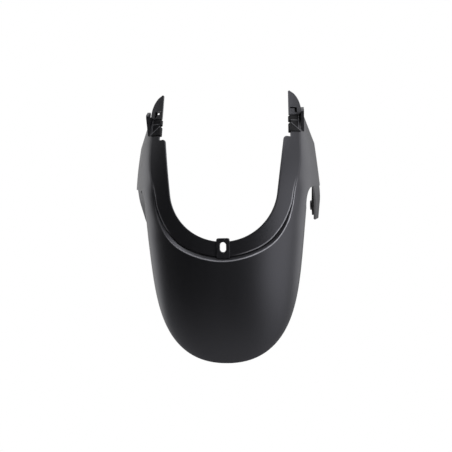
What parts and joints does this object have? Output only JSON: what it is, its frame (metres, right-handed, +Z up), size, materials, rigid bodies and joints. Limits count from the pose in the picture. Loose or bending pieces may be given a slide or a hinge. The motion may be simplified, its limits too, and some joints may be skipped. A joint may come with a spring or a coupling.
{
  "type": "motorcycle front mudguard",
  "caption": "Spoon-shaped rear section of a scooter front mudguard with forward arms, a joggled lap flange round a U-shaped throat and side fixing lugs.",
  "frame": {"origin": "centre of the upright slot, on the front face of the centre tab", "axes": "+Z up as fitted and along the part's length, +Y to the rear, towards the wheel, +X across, so the outer skin faces -Y"},
  "size_m": [0.2112, 0.1053, 0.2998],
  "materials": {
    "moulded_plastic": "unpainted black polypropylene with a fine satin grain",
    "spring_steel": "black phosphated spring steel"
  },
  "bodies": {
    "root": {"mudguard_shell": "moulded_plastic", "clip_left": "spring_steel", "clip_right": "spring_steel"}
  },
  "joints": []
}
